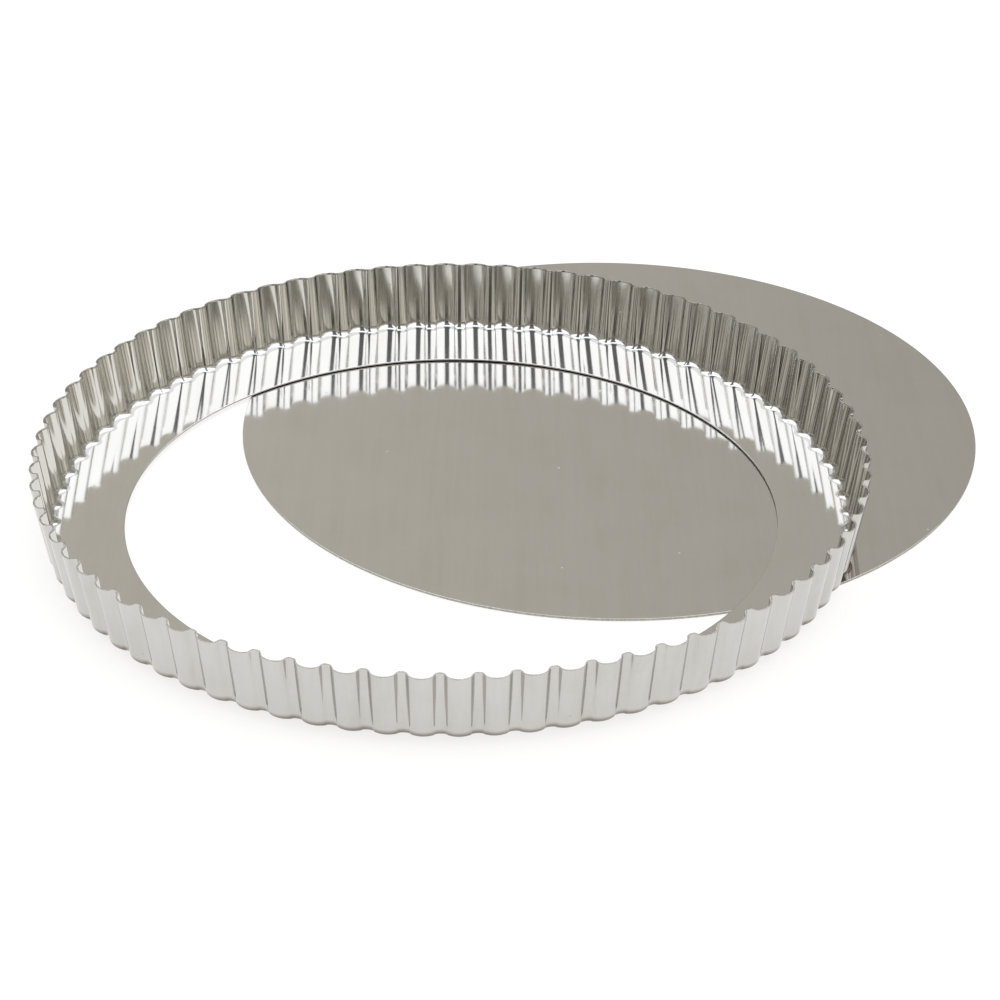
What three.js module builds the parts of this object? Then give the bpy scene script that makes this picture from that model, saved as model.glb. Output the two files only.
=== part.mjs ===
// Loose-bottomed fluted tart pan: a fluted ring with an in-turned flange, and a flat loose disc.
// Units are millimetres, +Z is up. The origin is on the ring's axis, at the level of the table.
import * as THREE from 'three';

// Loose disc: lies on the table, under the ring and off to one side of it.
const DISC_RADIUS = 130;
const DISC_THICKNESS = 0.8;
const DISC_SEGMENTS = 120;
const DISC_OFFSET = 84;          // from the ring's axis to the disc's centre
const DISC_DIRECTION = 49.28;    // degrees from +X towards +Y
const GAP = 0.3;                 // clearance between the disc and the ring resting on it

// Fluted ring, outside sizes. "Lobe" is the wide outward part of a flute, "groove" the narrow inward part.
const SHEET = 0.5;
const FLUTES = 76;
const FLUTE_PHASE = -0.46;       // degrees, the middle of the first groove
const RIM_RADIUS = 140;          // at the lobes
const RIM_HEIGHT = 25.4;         // at the lobes, above the ring's underside
const RIM_GROOVE_DEPTH = 2.7;
const RIM_GROOVE_RISE = 0.6;     // the cut edge stands a little higher in the grooves
const BASE_RADIUS = 135.8;       // where the lobe's wall would meet the flange
const BASE_GROOVE_DEPTH = 1.8;
const BASE_BEND = 2.8;           // outside radius of the bend between wall and flange
const LOBE_CURVE = 6.5;          // each lobe is an arc of this radius
const GROOVE_CURVE = 4.5;        // and so is each groove, the other way
const FLANGE_RADIUS = 110;       // inner edge of the flange
const FLANGE_RISE = 1.2;         // the flange climbs this much towards the wall

// One flute as places in its pitch: the groove's bottom ends at GROOVE_FLAT, its flanks at GROOVE_HALF.
const GROOVE_FLAT = 0.115;
const GROOVE_HALF = 0.185;
const PLACES = [-0.36, -GROOVE_HALF, -GROOVE_FLAT, 0, GROOVE_FLAT, GROOVE_HALF, 0.36, 0.5];

const TIN = { color: 0xb4b1a6, roughness: 0.2, metalness: 1 };

const sagitta = (radius, reach) => radius - Math.sqrt(radius ** 2 - reach ** 2);

// How far in from the lobe's crest the sheet is pressed at one place.
function press(place, depth, pitch) {
  const p = Math.abs(place);
  const arch = sagitta(LOBE_CURVE, Math.min(0.5 - p, 0.5 - GROOVE_HALF) * pitch);
  const shoulder = sagitta(LOBE_CURVE, (0.5 - GROOVE_HALF) * pitch);
  const crown = sagitta(GROOVE_CURVE, GROOVE_FLAT * pitch) - sagitta(GROOVE_CURVE, Math.min(p, GROOVE_FLAT) * pitch);
  const flank = THREE.MathUtils.clamp((GROOVE_HALF - p) / (GROOVE_HALF - GROOVE_FLAT), 0, 1);
  return arch + (depth - shoulder - sagitta(GROOVE_CURVE, GROOVE_FLAT * pitch)) * flank + crown;
}

// The pressed outline round one flute, with the step from each point to the inside of the sheet.
function outline(radius, depth) {
  const pitch = (2 * Math.PI * radius) / FLUTES;
  const along = PLACES.map((place) => place * pitch);
  const inward = PLACES.map((place) => press(place, depth, pitch));
  const normal = (i) => {
    const j = (i + 1) % PLACES.length;
    const run = along[j] + (j ? 0 : pitch) - along[i];
    const drop = inward[j] - inward[i];
    return new THREE.Vector2(-drop, run).normalize();
  };
  return PLACES.map((place, i) => {
    const before = normal((i + PLACES.length - 1) % PLACES.length);
    const after = normal(i);
    const mitre = before.clone().add(after).multiplyScalar(SHEET / (1 + before.dot(after)));
    return { inward: inward[i], slip: mitre.x / radius, thickness: mitre.y };
  });
}

const RIM = outline(RIM_RADIUS, RIM_GROOVE_DEPTH);
const FOOT = outline(BASE_RADIUS, BASE_GROOVE_DEPTH);
const TILT = Math.atan2(FLANGE_RISE, BASE_RADIUS - FLANGE_RADIUS);

// Closed section of the sheet at one place in the flute, as [radius, height, turn] points.
function sheetSection(index) {
  const foot = BASE_RADIUS - FOOT[index].inward;
  const footHeight = (foot - FLANGE_RADIUS) * Math.tan(TILT);
  const rim = RIM_RADIUS - RIM[index].inward;
  const height = RIM_HEIGHT + RIM_GROOVE_RISE * (RIM[index].inward / RIM_GROOVE_DEPTH) ** 1.5;
  const lean = Math.atan2(rim - foot, height - footHeight);
  const sweep = Math.PI / 2 - lean - TILT;
  const tangent = BASE_BEND * Math.tan(sweep / 2);
  const startRadius = foot - tangent * Math.cos(TILT);
  const startHeight = footHeight - tangent * Math.sin(TILT);
  const bend = (t, inside) => {
    const a = -Math.PI / 2 + TILT + t * sweep;
    const sheet = THREE.MathUtils.lerp(SHEET, FOOT[index].thickness, t);
    const radius = inside ? BASE_BEND - sheet : BASE_BEND;
    return [
      startRadius - BASE_BEND * Math.sin(TILT) + radius * Math.cos(a),
      startHeight + BASE_BEND * Math.cos(TILT) + radius * Math.sin(a),
      inside ? t * FOOT[index].slip : 0,
    ];
  };
  const sheet = RIM[index].thickness;
  return [
    [FLANGE_RADIUS, 0, 0],
    bend(0, false), bend(0.5, false), bend(1, false),
    [rim, height, 0],
    [rim - sheet * Math.cos(lean), height + sheet * Math.sin(lean), RIM[index].slip],
    bend(1, true), bend(0.5, true), bend(0, true),
    [FLANGE_RADIUS - SHEET * Math.sin(TILT), SHEET * Math.cos(TILT), 0],
    [FLANGE_RADIUS, 0, 0],
  ];
}

// The ring: a lathed section whose columns follow the flutes round the wall.
function flutedRing() {
  const columns = FLUTES * PLACES.length;
  const plain = sheetSection(0).map(([r, z]) => new THREE.Vector2(r, z));
  const geometry = new THREE.LatheGeometry(plain, columns);
  const position = geometry.attributes.position;
  for (let column = 0; column <= columns; column += 1) {
    const turn = column % columns;
    const index = turn % PLACES.length;
    const flute = Math.floor(turn / PLACES.length);
    const angle = THREE.MathUtils.degToRad(FLUTE_PHASE + (360 / FLUTES) * (flute + PLACES[index]));
    sheetSection(index).forEach(([r, z, slip], row) => {
      position.setXYZ(column * plain.length + row, r * Math.cos(angle + slip), r * Math.sin(angle + slip), z);
    });
  }
  geometry.computeVertexNormals();
  return geometry;
}

// The loose disc: a flat round plate with its underside on the table.
function looseDisc() {
  const geometry = new THREE.CylinderGeometry(DISC_RADIUS, DISC_RADIUS, DISC_THICKNESS, DISC_SEGMENTS, 1);
  geometry.rotateX(Math.PI / 2);
  geometry.translate(0, 0, DISC_THICKNESS / 2);
  return geometry;
}

function piece(name, geometry) {
  const mesh = new THREE.Mesh(geometry, new THREE.MeshStandardMaterial(TIN));
  mesh.name = name;
  return mesh;
}

const pan = new THREE.Group();
pan.name = 'tart_pan';

const ring = piece('fluted_ring', flutedRing());
ring.position.set(0, 0, DISC_THICKNESS + GAP);
pan.add(ring);

const disc = piece('loose_disc', looseDisc());
const towards = THREE.MathUtils.degToRad(DISC_DIRECTION);
disc.position.set(DISC_OFFSET * Math.cos(towards), DISC_OFFSET * Math.sin(towards), 0);
pan.add(disc);

export default pan;
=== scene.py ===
import math

import bmesh
import bpy
import numpy as np
from mathutils import Matrix, Vector


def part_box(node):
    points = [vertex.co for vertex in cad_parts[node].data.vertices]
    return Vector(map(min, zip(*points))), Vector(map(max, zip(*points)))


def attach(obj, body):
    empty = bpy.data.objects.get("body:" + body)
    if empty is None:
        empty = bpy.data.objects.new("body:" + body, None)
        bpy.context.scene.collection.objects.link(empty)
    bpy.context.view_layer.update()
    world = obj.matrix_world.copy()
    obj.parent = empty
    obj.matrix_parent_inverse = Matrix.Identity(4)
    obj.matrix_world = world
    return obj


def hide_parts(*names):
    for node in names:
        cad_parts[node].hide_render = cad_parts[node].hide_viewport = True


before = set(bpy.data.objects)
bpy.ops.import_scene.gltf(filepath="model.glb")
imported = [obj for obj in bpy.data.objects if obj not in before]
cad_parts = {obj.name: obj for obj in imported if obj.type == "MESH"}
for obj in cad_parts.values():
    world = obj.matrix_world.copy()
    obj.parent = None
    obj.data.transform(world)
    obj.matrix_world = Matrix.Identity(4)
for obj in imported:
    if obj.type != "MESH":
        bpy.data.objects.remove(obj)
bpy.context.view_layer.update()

# ---------------------------------------------------------------- sizes, in metres
MM = 0.001
SHEET = 0.5 * MM
FLUTES = 76
PITCH = 2 * math.pi / FLUTES
FLUTE_PHASE = math.radians(-0.46)
RIM_RADIUS = 139.97 * MM         # a hair inside the CAD's 140 mm, to stay in its box
RIM_HEIGHT = 25.4 * MM
RIM_GROOVE_DEPTH = 2.7 * MM
RIM_GROOVE_RISE = 0.6 * MM
BASE_RADIUS = 135.8 * MM
BASE_GROOVE_DEPTH = 1.8 * MM
BASE_BEND = 2.8 * MM
LOBE_CURVE = 6.5 * MM
GROOVE_CURVE = 4.5 * MM
GROOVE_HALF = 0.185
RIM_FLANK_RUN = 0.52
BASE_FLANK_RUN = 0.35
FLANGE_RADIUS = 110.0 * MM
FLANGE_RISE = 1.2 * MM
EDGE = 0.08 * MM                 # softening of every cut edge
HEEL_SHADE_BAND = (2.2 * MM, 4.4 * MM)  # heights above the ring's underside between which the painted shade at the heel fades

ring_low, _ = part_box("fluted_ring")
disc_low, disc_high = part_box("loose_disc")
RING_BASE = ring_low.z
DISC_CENTRE = (disc_low + disc_high) / 2
DISC_RADIUS = (disc_high.x - disc_low.x) / 2
DISC_THICKNESS = disc_high.z - disc_low.z

# ---------------------------------------------------------------- camera and view
CAMERA_ELEVATION = math.radians(30.42)
CAMERA_DISTANCE = 1.0221
CAMERA_TARGET = Vector((0.01636, 0.00988, 0.0))
CAMERA_ROLL = math.radians(0.22)
CAMERA_LENS = 107.75


def make_camera():
    data = bpy.data.cameras.new("camera")
    data.sensor_width = 36
    data.lens = CAMERA_LENS
    data.clip_start = 0.01
    data.clip_end = 50
    cam = bpy.data.objects.new("camera", data)
    bpy.context.scene.collection.objects.link(cam)
    away = Vector((0, -math.cos(CAMERA_ELEVATION), math.sin(CAMERA_ELEVATION)))
    cam.location = CAMERA_TARGET + away * CAMERA_DISTANCE
    turn = away.to_track_quat("Z", "Y").to_matrix().to_4x4()
    roll = Matrix.Rotation(CAMERA_ROLL, 4, "Z")
    cam.matrix_world = Matrix.Translation(cam.location) @ turn @ roll
    bpy.context.scene.camera = cam


# ---------------------------------------------------------------- meshes
def soft_ramp(t, low, high):
    """0 below t=0, 1 above t=1, a straight ramp between, with its two corners rounded over low and high."""
    def corner(u, r):
        return np.where(u <= -r, 0, np.where(u >= r, u, (u + r) ** 2 / (4 * r)))
    return corner(t, low) - corner(t - 1, high)


def pressed(place, depth, pitch, run, low, high):
    """How far in the sheet is at a place in the flute's pitch: an arched lobe, then the groove beside it."""
    p = np.abs((place + 0.5) % 1.0 - 0.5)
    reach = np.minimum(0.5 - p, 0.5 - GROOVE_HALF) * pitch
    arch = LOBE_CURVE - np.sqrt(LOBE_CURVE ** 2 - reach ** 2)
    step = depth - arch.max()
    flat = GROOVE_HALF - run * step / pitch
    crown = GROOVE_CURVE - np.sqrt(GROOVE_CURVE ** 2 - (np.minimum(p, flat) * pitch) ** 2)
    flank = soft_ramp((GROOVE_HALF - p) / (GROOVE_HALF - flat), low, high)
    return arch + (step - crown.max()) * flank + crown.max() - crown


def grid_mesh(name, points, finish, closed_v=True):
    """A mesh from a grid of points, columns by rows by 3, closed round; finish gives each row's material."""
    cols, rows, _ = points.shape
    cu = np.arange(cols)
    rv = np.arange(rows if closed_v else rows - 1)
    c, r = np.meshgrid(cu, rv, indexing="ij")
    c2, r2 = (c + 1) % cols, (r + 1) % rows
    quads = np.stack([c * rows + r, c2 * rows + r, c2 * rows + r2, c * rows + r2], -1).reshape(-1, 4)
    mesh = bpy.data.meshes.new(name)
    mesh.vertices.add(cols * rows)
    mesh.vertices.foreach_set("co", points.reshape(-1).astype(np.float32))
    mesh.loops.add(quads.size)
    mesh.loops.foreach_set("vertex_index", quads.reshape(-1).astype(np.int32))
    mesh.polygons.add(len(quads))
    mesh.polygons.foreach_set("loop_start", np.arange(0, quads.size, 4, dtype=np.int32))
    mesh.polygons.foreach_set("use_smooth", np.ones(len(quads), bool))
    mesh.polygons.foreach_set("material_index", np.tile(np.array(finish, np.int32)[rv], cols))
    mesh.update(calc_edges=True)
    mesh.validate()
    return mesh


def ring_columns():
    """Places in one flute's pitch, closer together on the groove's flanks."""
    half = np.array([0.0, 0.04, 0.065, 0.085, 0.103, 0.12, 0.136, 0.152, 0.168, 0.183, 0.2, 0.26, 0.34, 0.42])
    return np.concatenate([-half[:0:-1], half, [0.5]])


def ring_points():
    places = ring_columns()
    place = np.tile(places, FLUTES)
    turn = PITCH * (np.repeat(np.arange(FLUTES), len(places)) + place)
    angle = FLUTE_PHASE + turn
    press_rim = pressed(place, RIM_GROOVE_DEPTH, RIM_RADIUS * PITCH, RIM_FLANK_RUN, 0.25, 0.5)
    press_foot = pressed(place, BASE_GROOVE_DEPTH, BASE_RADIUS * PITCH, BASE_FLANK_RUN, 0.25, 0.5)
    rim = RIM_RADIUS - press_rim
    foot = BASE_RADIUS - press_foot
    height = RIM_HEIGHT + RIM_GROOVE_RISE * (press_rim / RIM_GROOVE_DEPTH) ** 1.5
    tilt = math.atan2(FLANGE_RISE, BASE_RADIUS - FLANGE_RADIUS)
    foot_z = (foot - FLANGE_RADIUS) * math.tan(tilt)
    lean = np.arctan2(rim - foot, height - foot_z)
    sweep = math.pi / 2 - lean - tilt
    tangent = BASE_BEND * np.tan(sweep / 2)
    start_r = foot - tangent * math.cos(tilt)
    start_z = foot_z - tangent * math.sin(tilt)
    centre_r = start_r - BASE_BEND * math.sin(tilt)
    centre_z = start_z + BASE_BEND * math.cos(tilt)
    # the sheet's thickness runs square to the flanks, so the inside is shifted a little sideways
    slope_rim = np.gradient(press_rim, turn * RIM_RADIUS)
    slope_foot = np.gradient(press_foot, turn * BASE_RADIUS)
    slip_rim = -0.5 * SHEET * slope_rim / np.sqrt(1 + slope_rim ** 2) / RIM_RADIUS
    slip_foot = -0.5 * SHEET * slope_foot / np.sqrt(1 + slope_foot ** 2) / BASE_RADIUS

    edge = EDGE
    bend = 9
    outer, inner = [], []
    for t in np.linspace(0, 1, bend):
        a = -math.pi / 2 + tilt + t * sweep
        for rows, radius in ((outer, BASE_BEND), (inner, BASE_BEND - SHEET)):
            rows.append((centre_r + radius * np.cos(a), centre_z + radius * np.sin(a),
                         t * slip_foot if rows is inner else 0 * turn))
    along_r, along_z = np.sin(lean), np.cos(lean)
    length = np.hypot(rim - foot, height - foot_z) - tangent - edge
    for t in (0.01, 0.3, 0.65, 0.975, 1.0):
        run = t * length
        for rows in (outer, inner):
            r0, z0, _ = rows[bend - 1]
            slip = (1 - t) * slip_foot + t * slip_rim if rows is inner else 0 * turn
            rows.append((r0 + run * along_r, z0 + run * along_z, slip))

    rows, finish = [], []

    def add(r, z, slip=0.0, kind=0):
        rows.append((r + 0 * turn, z + 0 * turn, slip + 0 * turn))
        finish.append(kind)

    # underside of the flange, from its cut edge outwards
    shares = (0, 0.01, 0.35, 0.7, 0.97)
    for f in shares:
        r = FLANGE_RADIUS + edge + f * (start_r - FLANGE_RADIUS - edge)
        add(r, (r - FLANGE_RADIUS) * math.tan(tilt))
    for r, z, slip in outer:
        add(r, z, slip)
    # cut edge of the rim
    finish[-1] = 2
    mid = [(o + i) / 2 for o, i in zip(outer[-1], inner[-1])]
    half_r, half_z = (outer[-1][0] - inner[-1][0]) / 2, (outer[-1][1] - inner[-1][1]) / 2
    for side in (0.8, 0.3, -0.3, -0.8):
        add(mid[0] + side * half_r + edge * along_r, mid[1] + side * half_z + edge * along_z,
            mid[2] - side * (inner[-1][2] - mid[2]), 2)
    for r, z, slip in inner[::-1]:
        add(r, z, slip, 1)
    for f in shares[::-1]:
        r = FLANGE_RADIUS + edge + f * (start_r - FLANGE_RADIUS - edge)
        add(r - SHEET * math.sin(tilt), (r - FLANGE_RADIUS) * math.tan(tilt) + SHEET * math.cos(tilt), 0, 4)
    # cut edge of the flange's opening
    finish[-1] = 3
    for side in (0.9, 0.5, 0.1):
        add(FLANGE_RADIUS - side * SHEET * math.sin(tilt), side * SHEET, 0, 3)

    pts = np.zeros((len(place), len(rows), 3))
    for k, (r, z, slip) in enumerate(rows):
        pts[:, k, 0] = r * np.cos(angle + slip)
        pts[:, k, 1] = r * np.sin(angle + slip)
        pts[:, k, 2] = z + RING_BASE
    return pts, finish


def disc_points(segments=720):
    angle = np.linspace(0, 2 * math.pi, segments, endpoint=False)
    edge = EDGE
    t = DISC_THICKNESS
    shares = (0.25, 0.5, 0.75, 0.9, 0.985)
    rows = [(DISC_RADIUS * f, 0) for f in shares]
    rows += [(DISC_RADIUS - edge - 0.1 * MM, 0), (DISC_RADIUS - edge, 0), (DISC_RADIUS, edge), (DISC_RADIUS, t / 2),
             (DISC_RADIUS, t - edge), (DISC_RADIUS - edge, t), (DISC_RADIUS - edge - 0.1 * MM, t)]
    rows += [(DISC_RADIUS * f, t) for f in shares[::-1]]
    pts = np.zeros((segments, len(rows), 3))
    for k, (r, z) in enumerate(rows):
        pts[:, k, 0] = DISC_CENTRE.x + r * np.cos(angle)
        pts[:, k, 1] = DISC_CENTRE.y + r * np.sin(angle)
        pts[:, k, 2] = disc_low.z + z
    finish = [0] * 6 + [1] * 4 + [0] * 7
    return pts, finish


def add_piece(name, mesh, body, node):
    obj = bpy.data.objects.new(name, mesh)
    bpy.context.scene.collection.objects.link(obj)
    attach(obj, body)
    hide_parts(node)
    return obj


def cap_disc(mesh, columns, rows):
    """Closes the disc's two faces with a fan round a middle vertex."""
    bm = bmesh.new()
    bm.from_mesh(mesh)
    bm.verts.ensure_lookup_table()
    for row, z in ((0, disc_low.z), (rows - 1, disc_low.z + DISC_THICKNESS)):
        middle = bm.verts.new((DISC_CENTRE.x, DISC_CENTRE.y, z))
        bm.verts.ensure_lookup_table()
        ring = [bm.verts[c * rows + row] for c in range(columns)]
        for a, b in zip(ring, ring[1:] + ring[:1]):
            bm.faces.new((a, b, middle) if row else (b, a, middle)).smooth = True
    bmesh.ops.recalc_face_normals(bm, faces=bm.faces)
    bm.to_mesh(mesh)
    bm.free()


# ---------------------------------------------------------------- materials
class Nodes:
    """Short hands for building a material's nodes."""

    def __init__(self, tree):
        self.tree = tree

    def add(self, kind, **settings):
        node = self.tree.nodes.new(kind)
        for key, value in settings.items():
            setattr(node, key, value)
        return node

    def feed(self, socket, value):
        if isinstance(value, bpy.types.NodeSocket):
            self.tree.links.new(value, socket)
        else:
            socket.default_value = value

    def math(self, operation, a, b=0.0, clamp=False):
        node = self.add("ShaderNodeMath", operation=operation, use_clamp=clamp)
        self.feed(node.inputs[0], a)
        self.feed(node.inputs[1], b)
        return node.outputs[0]

    def spread(self, value, low, high, to_low, to_high, smooth=True):
        node = self.add("ShaderNodeMapRange", interpolation_type="SMOOTHSTEP" if smooth else "LINEAR")
        sockets = ("Value", "From Min", "From Max", "To Min", "To Max")
        for key, v in zip(sockets, (value, low, high, to_low, to_high)):
            self.feed(node.inputs[key], v)
        return node.outputs["Result"]

    def scaled(self, vector, scale):
        node = self.add("ShaderNodeMapping")
        self.feed(node.inputs["Vector"], vector)
        node.inputs["Scale"].default_value = scale
        return node.outputs[0]

    def noise(self, vector, scale, detail=2.0, rough=0.5):
        node = self.add("ShaderNodeTexNoise")
        self.feed(node.inputs["Vector"], vector)
        node.inputs["Scale"].default_value = scale
        node.inputs["Detail"].default_value = detail
        node.inputs["Roughness"].default_value = rough
        return node.outputs["Fac"]

    def ramp(self, value, stops):
        node = self.add("ShaderNodeValToRGB")
        self.feed(node.inputs[0], value)
        ramp = node.color_ramp
        while len(ramp.elements) < len(stops):
            ramp.elements.new(0.5)
        for element, (place, colour) in zip(ramp.elements, stops):
            element.position = place
            element.color = (*colour, 1)
        return node.outputs[0]


def tinplate(name, colour, grain, roughness, wear=1.0, draw=0.0, heel_shade=0.0):
    """Bright tinned steel: faint drawing or rolling streaks, cloudy handling marks, tiny pits and a slight ripple."""
    mat = bpy.data.materials.new(name)
    mat.use_nodes = True
    n = Nodes(mat.node_tree)
    bsdf = mat.node_tree.nodes["Principled BSDF"]
    place = n.add("ShaderNodeTexCoord").outputs["Object"]
    cloud = n.noise(place, 34, 3, 0.55)
    mottle = n.noise(place, 420, 2, 0.6)
    streak = n.noise(n.scaled(place, grain), 900, 3, 0.6)
    wide_streak = n.noise(n.scaled(place, grain), 210, 2, 0.5)

    cell = n.add("ShaderNodeTexVoronoi", feature="F1")
    n.feed(cell.inputs["Vector"], place)
    cell.inputs["Scale"].default_value = 130
    chosen = n.add("ShaderNodeSeparateColor")
    n.feed(chosen.inputs[0], cell.outputs["Color"])
    pit = n.math("MULTIPLY", n.spread(cell.outputs["Distance"], 0.035, 0.075, 1, 0),
                 n.spread(chosen.outputs[0], 0.72, 0.76, 0, 1))

    tone = n.math("ADD", n.math("MULTIPLY", cloud, 0.45), n.math("MULTIPLY", wide_streak, 0.3))
    tone = n.math("ADD", tone, n.math("ADD", n.math("MULTIPLY", streak, 0.17), n.math("MULTIPLY", mottle, 0.08)))
    tone = n.math("SUBTRACT", tone, n.math("MULTIPLY", pit, 0.22))
    dark = [c * (1 - 0.16 * wear) * t for c, t in zip(colour, (1.0, 0.985, 0.95))]
    light = [min(1.0, c * (1 + 0.11 * wear)) for c in colour]
    metal = n.ramp(tone, [(0.2, dark), (0.5, colour), (0.8, light)])
    if heel_shade:
        # painted shade: a brownish darkening low on the wall, round the bend that stands on the table, standing in for
        # the shaded floor that the bend reflects
        up = n.add("ShaderNodeSeparateXYZ")
        n.feed(up.inputs[0], place)
        heel_shade_mask = n.math("ADD", up.outputs[2], n.math("MULTIPLY", n.math("SUBTRACT", cloud, 0.5), 0.001))
        heel_shade_mask = n.spread(heel_shade_mask, RING_BASE + HEEL_SHADE_BAND[0], RING_BASE + HEEL_SHADE_BAND[1], heel_shade, 0)
        mix = n.add("ShaderNodeMix", data_type="RGBA", blend_type="MULTIPLY")
        n.feed(mix.inputs[0], heel_shade_mask)
        n.feed(mix.inputs[6], metal)
        mix.inputs[7].default_value = (0.4, 0.35, 0.31, 1)
        metal = mix.outputs[2]
    n.feed(bsdf.inputs["Base Color"], metal)
    bsdf.inputs["Metallic"].default_value = 1
    rough = n.math("ADD", n.math("MULTIPLY", cloud, 0.5), n.math("MULTIPLY", streak, 0.5))
    rough = n.math("ADD", n.spread(rough, 0.3, 0.7, roughness * 0.75, roughness * 1.35), n.math("MULTIPLY", pit, 0.2))
    n.feed(bsdf.inputs["Roughness"], rough)

    ripple = n.noise(place, 30, 1, 0.4)
    height = n.math("MULTIPLY", ripple, 0.00005 * wear)
    height = n.math("ADD", height, n.math("MULTIPLY", streak, 0.0000006 + 0.4 * draw))
    height = n.math("ADD", height, n.math("MULTIPLY", wide_streak, draw))
    height = n.math("ADD", height, n.math("MULTIPLY", mottle, 0.0000008))
    height = n.math("SUBTRACT", height, n.math("MULTIPLY", pit, 0.000012))
    bump = n.add("ShaderNodeBump")
    bump.inputs["Distance"].default_value = 1.0
    bump.inputs["Strength"].default_value = 1.0
    n.feed(bump.inputs["Height"], height)
    n.feed(bsdf.inputs["Normal"], bump.outputs[0])
    return mat


def cut_edge(name, dark, light):
    """The sheared edge of the sheet, where the bare steel shows dull through the tin."""
    mat = bpy.data.materials.new(name)
    mat.use_nodes = True
    n = Nodes(mat.node_tree)
    bsdf = mat.node_tree.nodes["Principled BSDF"]
    place = n.add("ShaderNodeTexCoord").outputs["Object"]
    shear = n.noise(n.scaled(place, (1, 1, 0.15)), 1400, 3, 0.6)
    n.feed(bsdf.inputs["Base Color"], n.ramp(shear, [(0.3, dark), (0.7, light)]))
    bsdf.inputs["Metallic"].default_value = 1
    n.feed(bsdf.inputs["Roughness"], n.spread(shear, 0.3, 0.7, 0.3, 0.5))
    bump = n.add("ShaderNodeBump")
    bump.inputs["Distance"].default_value = 0.00001
    n.feed(bump.inputs["Height"], shear)
    n.feed(bsdf.inputs["Normal"], bump.outputs[0])
    return mat


def floor_material():
    """A pale floor that glows a little, so that the contact shadow stays faint."""
    mat = bpy.data.materials.new("pale_floor")
    mat.use_nodes = True
    bsdf = mat.node_tree.nodes["Principled BSDF"]
    bsdf.inputs["Base Color"].default_value = (0.24, 0.231, 0.21, 1)
    bsdf.inputs["Emission Color"].default_value = (1.0, 1.0, 0.99, 1)
    bsdf.inputs["Emission Strength"].default_value = 0.8
    bsdf.inputs["Roughness"].default_value = 0.9
    bsdf.inputs["Specular IOR Level"].default_value = 0.1
    return mat


# ---------------------------------------------------------------- stage and lights
# brightness by height: backdrop low down, then the tent's white wall
TENT = [(0.0, (0.25, 0.242, 0.223)), (0.14, (0.28, 0.271, 0.248)), (0.42, (0.428, 0.411, 0.381)),
        (0.58, (0.437, 0.42, 0.387)), (0.66, (1.74, 1.8, 2.0)), (1.0, (1.78, 1.85, 2.05))]
# brightness of the backdrop from left to right
BACKDROP = [(0.0, (0.75, 0.75, 0.75)), (0.2, (0.85, 0.85, 0.85)), (0.375, (1.2, 1.2, 1.2)), (0.5, (1.0, 1.0, 1.0)),
            (0.625, (0.8, 0.8, 0.8)), (0.8, (0.9, 0.9, 0.9)), (1.0, (1.35, 1.35, 1.35))]


def make_floor():
    half = 4.0
    mesh = bpy.data.meshes.new("floor")
    mesh.from_pydata([(-half, -half, 0), (half, -half, 0), (half, half, 0), (-half, half, 0)], [], [(0, 1, 2, 3)])
    floor = bpy.data.objects.new("floor", mesh)
    floor.location.z = -0.0005
    bpy.context.scene.collection.objects.link(floor)
    mesh.materials.append(floor_material())


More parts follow.
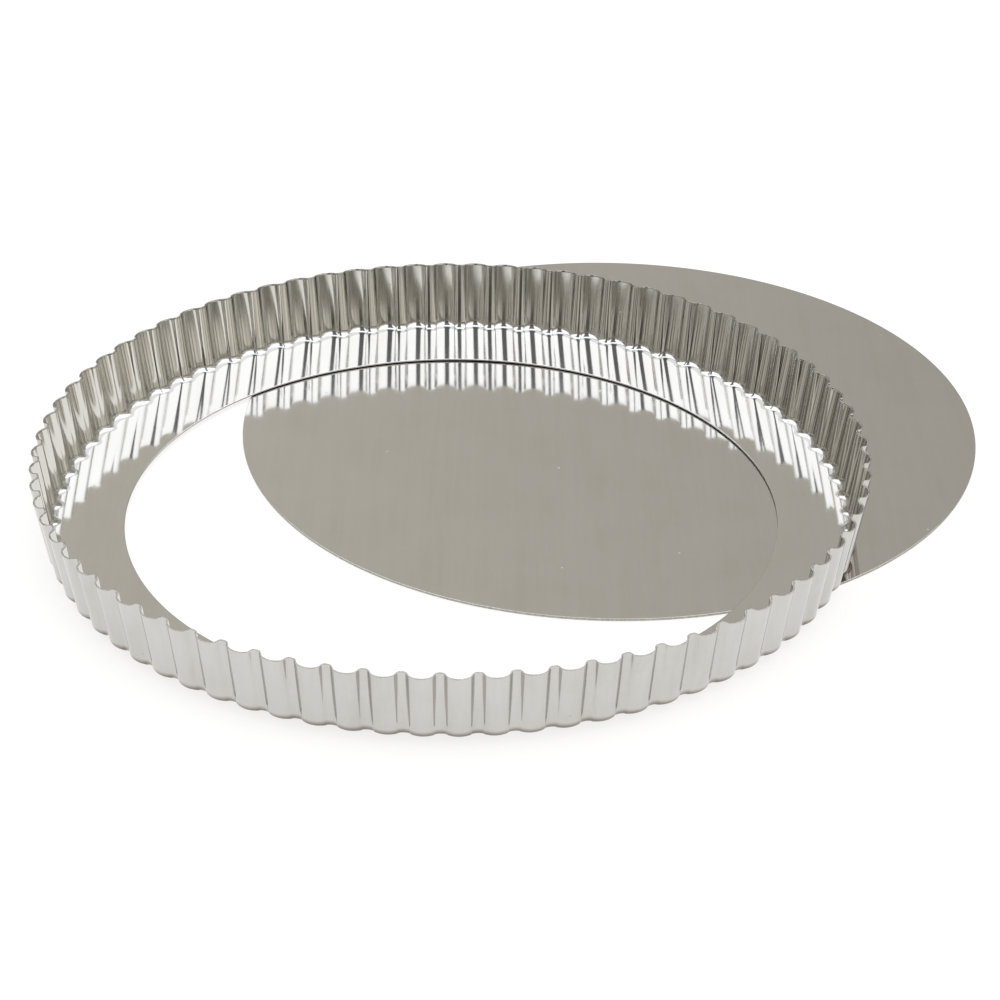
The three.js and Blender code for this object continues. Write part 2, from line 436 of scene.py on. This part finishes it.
def make_world():
    """A light tent: bright all round above, a warm grey backdrop low down, and a dark gap where the camera looks in."""
    world = bpy.data.worlds.new("studio")
    bpy.context.scene.world = world
    world.use_nodes = True
    n = Nodes(world.node_tree)
    split = n.add("ShaderNodeSeparateXYZ")
    direction = n.add("ShaderNodeTexCoord").outputs["Generated"]
    n.feed(split.inputs[0], direction)
    x, y, z = split.outputs
    # the tent's bright wall comes lower down on the camera's side
    rise = n.math("ADD", z, n.math("MULTIPLY", n.math("MAXIMUM", n.math("MULTIPLY", y, -1.0), 0.0), 0.26))
    tent = n.ramp(n.math("MAXIMUM", rise, 0.0), TENT)
    low = n.spread(rise, 0.56, 0.64, 1, 0)
    side = n.ramp(n.math("ADD", n.math("MULTIPLY", x, 0.5), 0.5), BACKDROP)
    # what stands round the room, seen low down on the camera's side
    room = n.noise(n.scaled(direction, (1, 1, 0.2)), 7.0, 2, 0.5)
    room = n.math("ADD", 1.0, n.math("MULTIPLY", n.spread(y, 0.35, 0.6, 1, 0), n.spread(room, 0.38, 0.62, -0.65, 0.65)))
    side = n.math("MULTIPLY", side, room)
    side = n.math("MULTIPLY", side, n.spread(y, -0.2, 0.5, 1.3, 1))
    side = n.math("ADD", 1.0, n.math("MULTIPLY", low, n.math("SUBTRACT", side, 1.0)))
    off_gap = n.math("ABSOLUTE", n.math("ADD", x, 0.12))
    gap = n.math("MAXIMUM", n.spread(off_gap, 0.18, 0.26, 0.1, 1), n.spread(y, -0.25, -0.05, 0.1, 1))
    bg = world.node_tree.nodes["Background"]
    n.feed(bg.inputs["Color"], tent)
    n.feed(bg.inputs["Strength"], n.math("MULTIPLY", side, gap))


def main():
    make_camera()
    ring_pts, ring_finish = ring_points()
    ring = add_piece("ring_fine", grid_mesh("ring_fine", ring_pts, ring_finish), "ring", "fluted_ring")
    disc_pts, disc_finish = disc_points()
    disc_mesh = grid_mesh("disc_fine", disc_pts, disc_finish, closed_v=False)
    cap_disc(disc_mesh, disc_pts.shape[0], disc_pts.shape[1])
    disc = add_piece("disc_fine", disc_mesh, "disc", "loose_disc")
    bright = (0.845, 0.83, 0.785)
    edge = cut_edge("cut_edge", (0.3, 0.28, 0.25), (0.52, 0.49, 0.44))
    # the outside gets a darker colour than the inside as painted shade, standing in for a dimmer floor in its
    # reflection; its last argument adds painted shade at the heel
    ring.data.materials.append(tinplate("ring_outside", (0.58, 0.567, 0.545), (1, 1, 0.05), 0.1, 1.0, 0.0, 1.0))
    ring.data.materials.append(tinplate("ring_inside", (0.65, 0.64, 0.6), (1, 1, 0.05), 0.1, 0.5, 0.000013))
    ring.data.materials.append(edge)
    ring.data.materials.append(cut_edge("opening_edge", (0.3, 0.275, 0.24), (0.52, 0.49, 0.44)))
    ring.data.materials.append(tinplate("ring_flange", bright, (1, 0.04, 1), 0.07, 0.35))
    disc.data.materials.append(tinplate("disc_face", bright, (1, 0.04, 1), 0.07, 0.35))
    disc.data.materials.append(edge)
    make_floor()
    make_world()
    bpy.context.scene.view_settings.view_transform = "Standard"


main()
